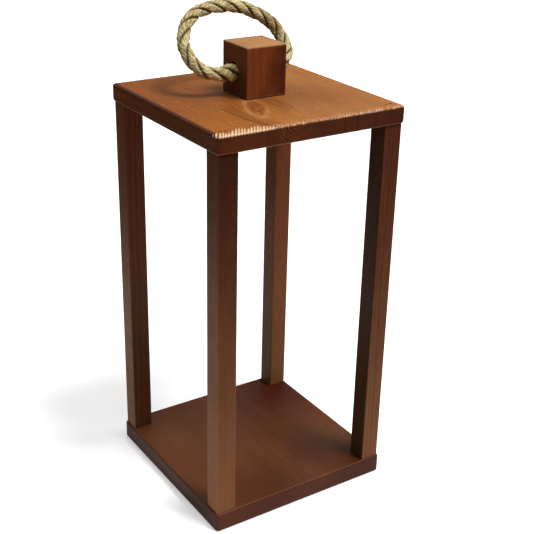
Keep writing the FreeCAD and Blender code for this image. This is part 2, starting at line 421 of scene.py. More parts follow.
def make_wisps(points, ahead, surface):
    """Loose fibres. Each starts at a random point of a strand's surface and runs along the
    rope, lifting off it as the square of the way along; its own radius narrows to the tip.
    The first FRAYED of them start where the rope opens, point on along it, lift more and are
    thicker. All fibres are one grid: fibre, ring, point of the ring."""
    rng = np.random.default_rng(7)
    ring = rng.integers(12, RINGS_ALONG - 12, WISPS) + RINGS_ALONG * rng.integers(0, STRANDS, WISPS)
    by_mouth = FLARE_PLACE / ROPE_LENGTH * RINGS_ALONG
    ring[:FRAYED] = (by_mouth + rng.integers(-8, 14, FRAYED)
                     + RINGS_ALONG * rng.integers(0, STRANDS, FRAYED)).astype(int)
    root = surface[ring, rng.integers(0, POINTS_ROUND, WISPS)]
    way = rng.choice([-1.0, 1.0], WISPS)[:, None] * ahead[ring % RINGS_ALONG]
    way[:FRAYED] = ahead[ring[:FRAYED] % RINGS_ALONG]
    outward = root - points[ring % RINGS_ALONG]
    outward /= np.linalg.norm(outward, axis=1, keepdims=True)
    aslant = np.cross(way, outward)
    length = rng.uniform(3.0, 9.0, WISPS)[:, None, None] * MM
    lift = rng.uniform(0.05, 0.34, WISPS)[:, None, None]
    lift[:FRAYED] *= FRAYED_LIFT
    drift = rng.uniform(-0.4, 0.4, WISPS)[:, None, None]
    share = np.linspace(0, 1, WISP_RINGS)[None, :, None]
    middle = (root[:, None, :] + length * (share * way[:, None, :]
              + lift * share ** 2 * outward[:, None, :] + drift * share * aslant[:, None, :]))
    angle = np.linspace(0, 2 * math.pi, WISP_SIDES, endpoint=False)
    spoke = (np.cos(angle)[None, :, None] * outward[:, None, :]
             + np.sin(angle)[None, :, None] * aslant[:, None, :])
    thickness = np.where(np.arange(WISPS) < FRAYED, FRAYED_THICKNESS, 1.0)[:, None, None, None]
    radius = WISP_RADIUS * thickness * (1 - 0.8 * share)[..., None]
    tubes = middle[:, :, None, :] + radius * spoke[:, None, :, :]
    one = WISP_RINGS * WISP_SIDES
    quads = tube_quads(WISP_RINGS, WISP_SIDES)[None] + (np.arange(WISPS) * one)[:, None, None]
    foot = (np.arange(WISP_SIDES)[::-1] + np.arange(WISPS)[:, None] * one)
    faces = quads.reshape(-1, 4).tolist() + foot.tolist()
    faces += (foot[:, ::-1] + one - WISP_SIDES).tolist()
    return mesh_object("handle_rope_wisps", tubes.reshape(-1, 3), faces)


# ==== shader trees ====
def feed(node, inputs):
    """Gives each of these inputs of a node its value, or joins it to a socket."""
    for key, value in inputs.items():
        if isinstance(value, bpy.types.NodeSocket):
            node.id_data.links.new(value, node.inputs[key])
        else:
            node.inputs[key].default_value = value


def put(tree, kind, inputs=None, **settings):
    """A node with these settings and inputs."""
    node = tree.nodes.new("ShaderNode" + kind)
    for name, value in settings.items():
        setattr(node, name, value)
    feed(node, inputs or {})
    return node


def calc(tree, operation, *values):
    """The result of one step of arithmetic."""
    return put(tree, "Math", dict(enumerate(values)), operation=operation).outputs[0]


def times(tree, total, *values):
    """The product of several values."""
    for value in values:
        total = calc(tree, "MULTIPLY", total, value)
    return total


def vector(tree, operation, *values):
    """The result of one step of vector arithmetic."""
    node = put(tree, "VectorMath", dict(enumerate(values)), operation=operation)
    return node.outputs["Value" if operation in ("LENGTH", "DISTANCE") else "Vector"]


def parts(tree, place):
    """The X, Y and Z of a vector."""
    return put(tree, "SeparateXYZ", {"Vector": place}).outputs


def fade(tree, value, low, high, start=0.0, end=1.0):
    """A smooth step from start, where value is low, to end, where it is high."""
    return put(tree, "MapRange", {"Value": value, "From Min": low, "From Max": high,
                                  "To Min": start, "To Max": end},
               interpolation_type="SMOOTHSTEP").outputs["Result"]


def fall(tree, value, low, high):
    """A smooth step down from 1, where value is low, to 0, where it is high."""
    return fade(tree, value, low, high, 1.0, 0.0)


def near(tree, place, spot, full, none, strength=1.0):
    """Strength within one distance of a spot, fading to 0 at a larger one."""
    return fade(tree, vector(tree, "DISTANCE", place, spot), full, none, strength, 0.0)


def off_line(tree, value, middle, width, strength):
    """Strength where value is at the middle of a line, fading to 0 at its half width."""
    off_middle = calc(tree, "ABSOLUTE", calc(tree, "SUBTRACT", value, middle))
    return fade(tree, off_middle, 0.0, width, strength, 0.0)


def noise(tree, place, scale, detail=2.0, roughness=0.5):
    """Noise, 0 to 1, mostly near the middle."""
    return put(tree, "TexNoise", {"Vector": place, "Scale": scale, "Detail": detail,
                                  "Roughness": roughness}).outputs["Fac"]


def sway(tree, place, scale, detail, reach):
    """A shift that follows noise, up to half of reach to either side on each axis."""
    colour = put(tree, "TexNoise", {"Vector": place, "Scale": scale, "Detail": detail})
    shift = vector(tree, "SUBTRACT", colour.outputs["Color"], (0.5, 0.5, 0.5))
    return vector(tree, "MULTIPLY", shift, reach)


def blend(tree, share, first, second):
    """A number that goes from the first to the second with share."""
    return put(tree, "Mix", {0: share, 2: first, 3: second}, data_type="FLOAT").outputs[0]


def tint(tree, factor, first, second, mode="MIX"):
    """Two colours mixed, or the second laid over the first in another mode. Each is a socket
    or a tuple of red, green and blue."""
    first, second = ((*colour, 1) if isinstance(colour, tuple) else colour
                     for colour in (first, second))
    node = put(tree, "Mix", {0: factor, 6: first, 7: second}, data_type="RGBA",
               blend_type=mode)
    return node.outputs[2]


def stain(tree, colour, shade, amount=1.0):
    """The colour multiplied by a shade, by an amount: for real stain, and for painted light and
    shade where the callers paint them.
    """
    return tint(tree, amount, colour, shade, "MULTIPLY")


def brighten(tree, colour, amount):
    """The colour made amount times as bright."""
    return put(tree, "HueSaturation", {"Value": amount, "Color": colour}).outputs["Color"]


def new_group(name, inputs, outputs):
    """An empty shader group. Besides its Vector, its inputs are given with their start
    values, three numbers for a vector and one for a number; its outputs are the names of
    numbers. Gives the tree and the sockets that bring its inputs."""
    tree = bpy.data.node_groups.new(name, "ShaderNodeTree")
    tree.interface.new_socket("Vector", in_out="INPUT", socket_type="NodeSocketVector")
    for label, start in inputs.items():
        kind = "NodeSocketVector" if isinstance(start, tuple) else "NodeSocketFloat"
        tree.interface.new_socket(label, in_out="INPUT", socket_type=kind).default_value = start
    for label in outputs:
        tree.interface.new_socket(label, in_out="OUTPUT", socket_type="NodeSocketFloat")
    return tree, tree.nodes.new("NodeGroupInput").outputs


def end_group(tree, results):
    """Joins each result to the group's output of that name, and gives the group."""
    feed(tree.nodes.new("NodeGroupOutput"), results)
    return tree


def use_group(tree, name, inputs):
    """One use of a group, with its own values."""
    return put(tree, "Group", inputs, node_tree=GROUPS[name]).outputs


def new_material(name):
    """A new material, its tree, and the coordinates its patterns read."""
    material = bpy.data.materials.new(name)
    material.use_nodes = True
    tree = material.node_tree
    return material, tree, put(tree, "TexCoord").outputs["Object"]


def finish_material(material, relief, height, inputs):
    """Feeds the material's shader, with a relief of this depth in metres made from height,
    and gives the material."""
    tree = material.node_tree
    bump = put(tree, "Bump", {"Strength": 1.0, "Distance": relief, "Height": height})
    feed(tree.nodes["Principled BSDF"], {**inputs, "Normal": bump.outputs["Normal"]})
    return material


# ==== shader groups ====
def make_grain_group():
    """Pine's grain about a pith that runs along the local Z axis. The age of the wood at a
    point is its distance from the pith in ring spacings, less a bulge round a knot, so that
    the rings flow round it; inside the knot it is the distance from its middle. A ring
    darkens slowly with age and ends sharply. The knot is an oval, drawn out along the grain
    and aslant. Fibres and resin flecks are noise drawn out along the grain."""
    tree, given = new_group(
        "pine_grain",
        {"Ring Spacing": 3.0 * MM, "Waviness": 0.004, "Knot Place": NO_KNOT[0],
         "Knot Radius": NO_KNOT[1]},
        ["Latewood", "Fibre", "Flecks", "Tone", "Knot", "Knot Rim", "Near Knot", "Height"])
    place = given["Vector"]
    drawn_out = vector(tree, "MULTIPLY", place, (1, 1, 0.22))
    waves = put(tree, "VectorMath", {0: sway(tree, drawn_out, SWAY_SCALE, 2, (1, 1, 0)),
                                     "Scale": given["Waviness"]}, operation="SCALE")
    bent = vector(tree, "ADD", place, waves.outputs["Vector"])
    from_pith = vector(tree, "LENGTH", vector(tree, "MULTIPLY", bent, (1, 1, 0)))
    age = calc(tree, "DIVIDE", from_pith, given["Ring Spacing"])
    x, _, z = parts(tree, vector(tree, "SUBTRACT", bent, given["Knot Place"]))
    oval = put(tree, "CombineXYZ", {"X": calc(tree, "MULTIPLY_ADD", z, KNOT_SLANT, x),
                                    "Y": times(tree, z, KNOT_FLATNESS)})
    share = calc(tree, "DIVIDE", vector(tree, "LENGTH", oval.outputs["Vector"]),
                 given["Knot Radius"])
    inside = fall(tree, share, 0.88, 1.02)
    age = calc(tree, "SUBTRACT", age, fade(tree, share, 0.5, 4.2, KNOT_BULGE, 0.0))
    age = blend(tree, inside, age, times(tree, share, RINGS_IN_KNOT))
    off_rim = calc(tree, "ABSOLUTE", calc(tree, "SUBTRACT", share, 1.22))
    broken = fade(tree, noise(tree, place, RIM_BREAK_SCALE, 3), 0.36, 0.6, 0.1, 1.0)
    rim = times(tree, fall(tree, off_rim, 0.05, 0.42), broken)
    part = calc(tree, "FRACT", age)
    chance = put(tree, "TexWhiteNoise", {"W": calc(tree, "FLOOR", age)},
                 noise_dimensions="1D").outputs["Value"]
    late = times(tree, fade(tree, part, 0.35, 0.9), fall(tree, part, 0.92, 1.0),
                 fade(tree, chance, 0.0, 1.0, 0.45, 1.0), fade(tree, inside, 0.0, 1.0, 1.0, 0.4))
    threads = vector(tree, "MULTIPLY", place, (1, 1, 0.03))
    fibre = fade(tree, noise(tree, threads, FIBRE_SCALE, 3, 0.7), 0.3, 0.7)
    dashes = vector(tree, "MULTIPLY", place, (1, 1, 0.09))
    flecks = fade(tree, noise(tree, dashes, FLECK_SCALE, 1), 0.66, 0.76)
    cloud = vector(tree, "MULTIPLY", place, (1, 1, 0.3))
    height = calc(tree, "MULTIPLY_ADD", late, 0.8, times(tree, fibre, 0.35))
    return end_group(tree, {
        "Latewood": late, "Fibre": fibre, "Flecks": flecks,
        "Tone": noise(tree, cloud, TONE_SCALE, 3, 0.6), "Knot": inside, "Knot Rim": rim,
        "Near Knot": fall(tree, share, 1.8, 4.6), "Height": calc(tree, "SUBTRACT", height, flecks)})


def make_faces_group():
    """How far a point is from the faces of an upright box, and from its nearest arris, which
    is the second smallest of the three distances."""
    tree, given = new_group(
        "box_faces", {"Middle": (0, 0, 0), "Half": (1, 1, 1)},
        ["To X Face", "To Y Face", "To Z Face", "To Arris"])
    off_middle = vector(tree, "SUBTRACT", given["Vector"], given["Middle"])
    room = vector(tree, "SUBTRACT", given["Half"], vector(tree, "ABSOLUTE", off_middle))
    x, y, z = parts(tree, room)
    least = calc(tree, "MINIMUM", x, y)
    most = calc(tree, "MAXIMUM", x, y)
    to_arris = calc(tree, "MAXIMUM", least, calc(tree, "MINIMUM", most, z))
    return end_group(tree, {"To X Face": x, "To Y Face": y, "To Z Face": z,
                             "To Arris": to_arris})


def make_wear_group():
    """Wear along an arris: a band whose width follows noise, kept only in patches."""
    tree, given = new_group(
        "arris_wear", {"To Arris": 1.0, "Width": 1.0 * MM, "Amount": 0.5}, ["Mask"])
    ragged = times(tree, noise(tree, given["Vector"], WEAR_SCALE, 4, 0.7), given["Width"])
    reach = calc(tree, "MULTIPLY_ADD", ragged, 2.6, times(tree, given["Width"], -0.7))
    band = fall(tree, calc(tree, "SUBTRACT", given["To Arris"], reach), 0.0, 0.4 * MM)
    patch = calc(tree, "ADD", noise(tree, given["Vector"], WEAR_PATCH_SCALE, 3, 0.65),
                 given["Amount"])
    return end_group(tree, {"Mask": times(tree, band, fade(tree, patch, 0.92, 1.08))})


def make_strokes_group():
    """Torn strokes that run in over a level face from its front arris. Their teeth are a sine
    along X, slanted and jittered by noise. A tooth's reach follows an envelope from Left
    Reach to Right Reach, and Strokes is where a point is nearer to the arris than the reach,
    thinning towards the tips. Edge is an uneven pale line on the arris itself."""
    tree, given = new_group(
        "torn_strokes",
        {"Arris": (0, 0, 0), "Half Length": 0.1, "Left Reach": 4 * MM, "Right Reach": 1 * MM},
        ["Strokes", "Edge"])
    offset = vector(tree, "SUBTRACT", given["Vector"], given["Arris"])
    x, y, z = parts(tree, offset)
    slanted = calc(tree, "MULTIPLY_ADD", y, STROKE_SLANT, x)
    spot = put(tree, "CombineXYZ", {"X": slanted}).outputs["Vector"]
    jitter = times(tree, noise(tree, spot, STROKE_JITTER_SCALE, 2), STROKE_JITTER)
    wave = calc(tree, "SINE", calc(tree, "MULTIPLY_ADD", slanted, 2 * math.pi / STROKE_SPACING,
                                   jitter))
    ragged = fade(tree, noise(tree, spot, STROKE_RAGGED_SCALE, 2, 0.6), 0.3, 0.6, 0.35, 1.0)
    teeth = times(tree, fade(tree, wave, -0.25, 0.5), ragged)
    patches = fade(tree, noise(tree, spot, STROKE_PATCH_SCALE, 2, 0.6), 0.34, 0.6, 0.35, 1.0)
    share = calc(tree, "MULTIPLY_ADD", calc(tree, "DIVIDE", x, given["Half Length"]), 0.5, 0.5)
    envelope = put(tree, "MapRange", {
        "Value": fade(tree, share, 0.18, 0.32), "To Min": given["Left Reach"],
        "To Max": given["Right Reach"]}).outputs["Result"]
    reach = times(tree, fade(tree, teeth, 0.0, 0.7, 0.5, 1.0), patches, envelope)
    on_top = fade(tree, z, -1.6 * MM, -0.4 * MM)
    strokes = fall(tree, calc(tree, "DIVIDE", y, calc(tree, "MAXIMUM", reach, 0.1 * MM)),
                   0.5, 1.0)
    strokes = times(tree, strokes, fade(tree, teeth, 0.1, 0.55, 0.12, 1.0), on_top)
    distance = vector(tree, "LENGTH", vector(tree, "MULTIPLY", offset, (0, 1, 1)))
    uneven = calc(tree, "MULTIPLY_ADD", noise(tree, given["Vector"], EDGE_SCALE, 3, 0.6),
                  -1.6 * MM, distance)
    edge = times(tree, fall(tree, uneven, -0.4 * MM, 0.3 * MM),
                 fade(tree, z, -1.1 * MM, -0.3 * MM))
    return end_group(tree, {"Strokes": strokes, "Edge": edge})


def make_varnish_group():
    """Satin varnish: broad brushed clouds of gloss, fine dust nibs and rubbed spots."""
    tree, given = new_group(
        "satin_varnish", {"Roughness": 0.4, "Wear": 0.0}, ["Roughness", "Height"])
    clouds = noise(tree, given["Vector"], GLOSS_CLOUD_SCALE, 4, 0.65)
    least = calc(tree, "SUBTRACT", given["Roughness"], 0.11)
    rough = calc(tree, "MULTIPLY_ADD", clouds, 0.22, least)
    rough = calc(tree, "MULTIPLY_ADD", given["Wear"], 0.3, rough)
    nibs = fade(tree, noise(tree, given["Vector"], DUST_SCALE, 1), 0.7, 0.8)
    brushed = noise(tree, given["Vector"], BRUSH_SCALE, 3, 0.6)
    height = calc(tree, "MULTIPLY_ADD", nibs, 0.6, brushed)
    return end_group(tree, {"Roughness": rough, "Height": height})


# ==== timber ====
def on_faces(tree, faces, axis, there=1.0, elsewhere=0.0):
    """One value on the two faces across an axis, going over to another round their arrises."""
    return fade(tree, faces["To %s Face" % axis], 0.0, FACE_BAND, there, elsewhere)


def timber(name, node, pith, turned, spacing, waviness, early, late, sides, ends, end_axis,
           worn, wear, roughness=0.4, knot=NO_KNOT, show=0.8, x_face_painted_light=1.0, gloss=0.13,
           extra=None):
    """Stained, varnished pine for one node. early and late colour a ring's start and end on the
    faces seen from above, as strongly as show says away from a knot; sides and ends multiply that
    colour on the upright faces and where the grain is cut across; x_face_painted_light is painted
    light and shade: how bright the left and right faces are made, standing in for how the light
    falls on them; worn shows along the arrises by wear; gloss is how strongly the varnish mirrors.
    extra, a function of the tree, the place, the faces, the colour and the rubbed spots, adds what
    only this node has."""
    material, tree, place = new_material(name)
    local = put(tree, "Mapping", {"Vector": place, "Location": pith, "Rotation": turned},
                vector_type="TEXTURE").outputs["Vector"]
    grain = use_group(tree, "grain", {
        "Vector": local, "Ring Spacing": spacing, "Waviness": waviness,
        "Knot Place": knot[0], "Knot Radius": knot[1]})
    faces = use_group(tree, "faces", {
        "Vector": place, "Middle": tuple(box_middle(node)), "Half": tuple(box_half(node))})
    shown = fade(tree, grain["Near Knot"], 0.0, 1.0, show, 1.5)
    colour = tint(tree, times(tree, grain["Latewood"], shown), early, late)
    brightness = calc(tree, "MULTIPLY_ADD", grain["Tone"], 0.55, 0.72)
    brightness = times(tree, brightness, fade(tree, grain["Fibre"], 0, 1, 0.88, 1.08))
    colour = brighten(tree, colour, brightness)
    colour = tint(tree, times(tree, grain["Flecks"], 0.5 * show), colour, collected(late))
    core = fade(tree, noise(tree, place, KNOT_CORE_SCALE, 3), 0.34, 0.6, 0.3, 0.9)
    colour = tint(tree, times(tree, grain["Knot"], core), colour, late)
    colour = tint(tree, times(tree, grain["Knot Rim"], 0.6), colour, bleached(early))
    # painted light and shade: the left and right faces made brighter or darker, as the light falls
    # on them
    colour = brighten(tree, colour, on_faces(tree, faces, "X", x_face_painted_light, 1.0))
    colour = stain(tree, colour, sides, fade(tree, faces["To Z Face"], 0.6 * MM, 1.9 * MM))
    cut_across = on_faces(tree, faces, end_axis)
    colour = stain(tree, colour, ends, cut_across)
    off_pith = calc(tree, "ABSOLUTE", parts(tree, local)["X"])
    ring_ends = times(tree, cut_across, grain["Latewood"],
                      fade(tree, off_pith, 0.022, 0.040, 0.75, 0.12))
    colour = stain(tree, colour, RING_END_SHADE, ring_ends)
    width, amount = wear
    rubbed = use_group(tree, "wear", {"Vector": place, "To Arris": faces["To Arris"],
                                      "Width": width, "Amount": amount})["Mask"]
    colour = tint(tree, rubbed, colour, worn)
    if extra:
        colour, rubbed = extra(tree, place, faces, colour, rubbed)
    varnish = use_group(tree, "varnish", {
        "Vector": place, "Roughness": roughness, "Wear": rubbed})
    height = calc(tree, "MULTIPLY_ADD", varnish["Height"], 0.6, grain["Height"])
    height = calc(tree, "SUBTRACT", height, times(tree, rubbed, 0.8))
    return finish_material(material, VARNISH_RELIEF, height, {
        "Base Color": colour, "Roughness": varnish["Roughness"], "Specular IOR Level": gloss})


def collected(colour):
    """The stain where it collects: the late colour, darker."""
    return tuple(0.35 * value for value in colour)


def bleached(colour):
    """The early colour where it took little stain."""
    return tuple(value + 0.25 * (1 - value) * value ** 0.4 for value in colour)


def knot_rings(tree, place, colour):
    """Dark rings that part round the top board's knot: ovals drawn out along the grain. Only
    patches took the stain, and none far behind on the left or far in front on the right."""
    offset = vector(tree, "SUBTRACT", place, TOP_KNOT)
    shift = sway(tree, place, KNOT_RING_SWAY_SCALE, 1, (0.007, 0.010, 0))
    oval = vector(tree, "MULTIPLY", vector(tree, "ADD", offset, shift), (1, 0.48, 0))
    reach = vector(tree, "LENGTH", oval)
    rings = 0.0
    for distance, width, strength in KNOT_RINGS:
        rings = calc(tree, "MAXIMUM", rings, off_line(tree, reach, distance, width, strength))
    x, y, _ = parts(tree, offset)
    left = times(tree, fall(tree, x, -0.018, -0.004), fall(tree, y, 0.004, 0.024))
    right = times(tree, fade(tree, x, 0.006, 0.018, 0.0, 0.7), fade(tree, y, -0.030, -0.012))
    patches = fade(tree, noise(tree, place, KNOT_RING_PATCH_SCALE, 2), 0.34, 0.52, 0.5, 1.0)
    rings = times(tree, rings, patches, calc(tree, "MAXIMUM", left, right))
    return tint(tree, rings, colour, KNOT_RING_STAIN)


def top_shades(tree, place, faces, colour):
    """The top board's uneven colour: darker towards the left and back, a painted shade that stands
    in for the light falling from the right, lighter at the front left corner, a painted light, and
    a darker spot beside the block. Its front and back faces are darker towards the right, and its
    left and right faces lighter towards the back."""
    low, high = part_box("top_board")
    x, y, _ = parts(tree, place)
    # painted shade: darker towards the left and back, away from the light on the right
    off_left = fade(tree, calc(tree, "MULTIPLY_ADD", y, -0.35, x), -0.11, 0.07)
    shade = tint(tree, off_left, (0.69, 0.55, 0.37), (0.99, 1.03, 1.06))
    colour = stain(tree, colour, shade)
    # painted light: lighter at the front left corner
    colour = stain(tree, colour, (1.22, 1.28, 1.20),
                   near(tree, place, TOP_LIGHT_CORNER, 0.015, 0.075))
    colour = tint(tree, near(tree, place, TOP_DARK_SPOT, 0.01, 0.06, 0.32), colour, TOP_DARK_TONE)
    to_right = times(tree, on_faces(tree, faces, "Y"), fade(tree, x, -0.05, 0.09))
    colour = stain(tree, colour, (0.70, 0.72, 0.95), to_right)
    to_back = tint(tree, fade(tree, y, low[1], high[1]), (0.84, 0.92, 0.84), (1.36, 1.42, 1.60))
    return stain(tree, colour, to_back, on_faces(tree, faces, "X"))


def top_marks(tree, place, faces, colour):
    """Dust nibs on the top board's upper face, checks in its end grain, and the dark line
    along its left arris."""
    low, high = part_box("top_board")
    x, _, z = parts(tree, place)
    on_top = fade(tree, z, high[2] - 1.6 * MM, high[2] - 0.4 * MM)
    nibs = fade(tree, noise(tree, place, NIB_SCALE, 0), 0.765, 0.80, 0.0, 0.34)
    colour = tint(tree, times(tree, nibs, on_top), colour, NIB_COLOUR)
    for along in TOP_CHECKS:
        check = times(tree, off_line(tree, x, along, CHECK_WIDTH, 0.7), on_faces(tree, faces, "Y"))
        colour = tint(tree, check, colour, CHECK_COLOUR)
    near_left = fall(tree, x, low[0] + 3.2 * MM, low[0] + 5.0 * MM)
    rounded = fade(tree, z, high[2] - 3.0 * MM, high[2] - 1.8 * MM)
    return tint(tree, times(tree, near_left, rounded, 0.9), colour, ARRIS_STAIN)


def torn_front(tree, place, colour):
    """The top board's torn, pale front arris, palest at its left end and speckled further on:
    the colour, and where it is torn."""
    low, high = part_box("top_board")
    inset = 0.8 * MM
    torn = use_group(tree, "strokes", {
        "Vector": place, "Arris": (0.0, low[1] + inset, high[2] - inset),
        "Half Length": (high[0] - low[0]) / 2, "Left Reach": STROKE_REACH_LEFT,
        "Right Reach": STROKE_REACH_RIGHT})
    x = parts(tree, place)["X"]
    specks = fade(tree, noise(tree, place, SPECK_SCALE, 2), 0.42, 0.6, 0.05, 1.0)
    paleness = times(tree, fade(tree, x, -0.055, -0.03, 0.9, 0.45),
                     fade(tree, x, -0.06, -0.03, 1.0, specks))
    edge = times(tree, paleness, 0.75, torn["Edge"])
    worn = calc(tree, "MAXIMUM", times(tree, torn["Strokes"], paleness), edge)
    return tint(tree, worn, colour, TORN_WOOD), worn


def top_extra(tree, place, faces, colour, rubbed):
    """What only the top board has: its knot's rings, its shades, its marks and its torn front
    arris."""
    colour = knot_rings(tree, place, colour)
    colour = top_shades(tree, place, faces, colour)
    colour = top_marks(tree, place, faces, colour)
    colour, worn = torn_front(tree, place, colour)
    return colour, calc(tree, "MAXIMUM", rubbed, worn)


def block_extra(tree, place, faces, colour, rubbed):
    """The block's bore: a rough wall inside, painted near black as the shade in the bore, and a
    lighter, patchy rim round each mouth, a painted highlight of the mouths' edges. It is darker in
    a line round its foot and in clouds towards the right. Its left and right faces are greyer, and
    lighter towards the top: painted shade low down on them, standing in for the rope's shadow."""
    offset = vector(tree, "SUBTRACT", place, tuple(BORE_MIDDLE))
    radius = vector(tree, "LENGTH", vector(tree, "MULTIPLY", offset, (0, 1, 1)))
    # painted shade: the wall inside the bore is near black, as the shade in it
    wall = fall(tree, radius, BORE_RADIUS + 0.1 * MM, BORE_RADIUS + 0.3 * MM)
    # painted highlight: a lighter rim, in patches, on the edge of each mouth
    rim = fall(tree, radius, BORE_RADIUS + 0.9 * MM, BORE_RADIUS + 1.5 * MM)
    rim = times(tree, rim, fade(tree, noise(tree, place, RIM_HIGHLIGHT_SCALE, 3), 0.42, 0.6), 0.45)
    colour = tint(tree, rim, colour, BORE_RIM_HIGHLIGHT)
    x, _, z = parts(tree, place)
    low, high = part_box("handle_block")
    foot = fall(tree, z, low[2] + 0.6 * MM, low[2] + 1.8 * MM)
    colour = tint(tree, foot, colour, BLOCK_FOOT_TONE)
    cloud = calc(tree, "MULTIPLY_ADD", noise(tree, place, BLOCK_CLOUD_SCALE, 3), 0.03, x)
    cloud = calc(tree, "MULTIPLY_ADD", z, -0.25, calc(tree, "ADD", cloud, 0.25 * low[2]))
    cloud = times(tree, fade(tree, cloud, 0.002, 0.034, 0.0, 0.78),
                  fade(tree, faces["To Z Face"], 0.0, 3.0 * MM))
    colour = tint(tree, cloud, colour, BLOCK_CLOUD_TONE)
    # painted shade and light: the left and right faces darker low down and lighter at the top
    sides = on_faces(tree, faces, "X")
    rising = fade(tree, z, low[2] + 10 * MM, high[2] - 6 * MM, 0.72, 1.32)
    colour = brighten(tree, colour, blend(tree, sides, 1.0, rising))
    colour = stain(tree, colour, (1.03, 1.32, 1.55), sides)
    rubbed = times(tree, rubbed, calc(tree, "SUBTRACT", 1.0, foot))
    return tint(tree, wall, colour, BORE_WALL_SHADE), rubbed


def base_extra(tree, place, faces, colour, rubbed):
    """The base board's uneven colour, with a painted shadow and sheen, spot by spot."""
    for spot, full, none, shade in BASE_SHADES:
        colour = stain(tree, colour, shade, near(tree, place, spot, full, none))
    return colour, rubbed


def post_shade(foot, top_end, front_foot, side_foot):
    """Painted light and shade on a post, standing in for the floor's sheen low down and the light
    on
    each face: brightness that goes evenly from one strength at its foot to another at its top, has
    a further strength at the foot on its front and back faces and on its sides, and is redder
    towards the top."""
    def extra(tree, place, faces, colour, rubbed):
        """The post's colour with this painted light and shade, and the rubbed spots as they were.
        """
        z = parts(tree, place)["Z"]
        low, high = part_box("post_front_left")
        # painted light and shade: from the foot to the top, and face by face
        shade = fade(tree, z, low[2], high[2], foot, top_end)
        for axis, at_foot in (("Y", front_foot), ("X", side_foot)):
            rising = fade(tree, z, low[2], high[2], at_foot, 1.0)
            shade = times(tree, shade, blend(tree, on_faces(tree, faces, axis), 1.0, rising))
        colour = stain(tree, colour, (0.97, 1.10, 1.06), on_faces(tree, faces, "X"))
        # painted sheen: paler and less red at the foot, redder towards the top
        warmth = tint(tree, fade(tree, z, low[2], high[2]), (1.0, 1.08, 1.10), (1.0, 0.80, 0.90))
        return brighten(tree, stain(tree, colour, warmth), shade), rubbed
    return extra


def dress_timber():
    """Gives each wooden node its own material: its own pith, rings and shade."""
    top = timber(
        "stained_pine_top", "top_board", (-0.018, 0.0, 0.4006), ALONG_Y, 2.7 * MM, 0.005,
        early=(0.375, 0.134, 0.031), late=(0.195, 0.056, 0.012), sides=(0.40, 0.33, 0.34),
        ends=(0.75, 0.58, 0.62), end_axis="Y", worn=(0.42, 0.20, 0.08), wear=(0.5 * MM, 0.34),
        knot=((-0.0065, 0.0, -0.041), 0.0084), show=0.3, extra=top_extra)
    base = timber(
        "stained_pine_base", "base_board", (0.030, 0.0, -0.020), ALONG_Y, 3.4 * MM, 0.007,
        early=(0.105, 0.033, 0.011), late=(0.062, 0.018, 0.006), sides=(0.79, 0.60, 0.52),
        ends=(1.1, 1.0, 1.0), end_axis="Y", worn=(0.30, 0.14, 0.06), wear=(0.8 * MM, 0.42),
        roughness=0.34, show=0.4, x_face_painted_light=0.65, extra=base_extra)
    block = timber(
        "stained_pine_block", "handle_block", (-0.045, 0.062, 0.0), ALONG_Z, 3.4 * MM, 0.004,
        early=(0.47, 0.235, 0.093), late=(0.36, 0.155, 0.055), sides=(0.44, 0.205, 0.14),
        ends=(1.0, 1.0, 1.0), end_axis="Z", worn=(0.34, 0.14, 0.06), wear=(0.5 * MM, 0.36),
        x_face_painted_light=0.62, extra=block_extra)
    for node, material in (("top_board", top), ("base_board", base), ("handle_block", block)):
        dress(NODES[node], material)
    for corner, (pith, spacing, x_face_painted_light, *shades) in POST_TIMBER.items():
        dress(NODES["post_" + corner], timber(
            "stained_pine_post_" + corner, "post_" + corner, pith, ALONG_Z, spacing, 0.006,
            early=(0.150, 0.054, 0.021), late=(0.080, 0.024, 0.009), sides=(1.0, 1.0, 1.0),
            ends=(0.8, 0.8, 0.8), end_axis="Z", worn=(0.22, 0.10, 0.05), wear=(0.5 * MM, 0.30),
            roughness=0.36, x_face_painted_light=x_face_painted_light, show=0.5, gloss=0.06, extra=post_shade(*shades)))


def dress(piece, material):
    """The piece shows this material and no other."""
    piece.data.materials.clear()
    piece.data.materials.append(material)


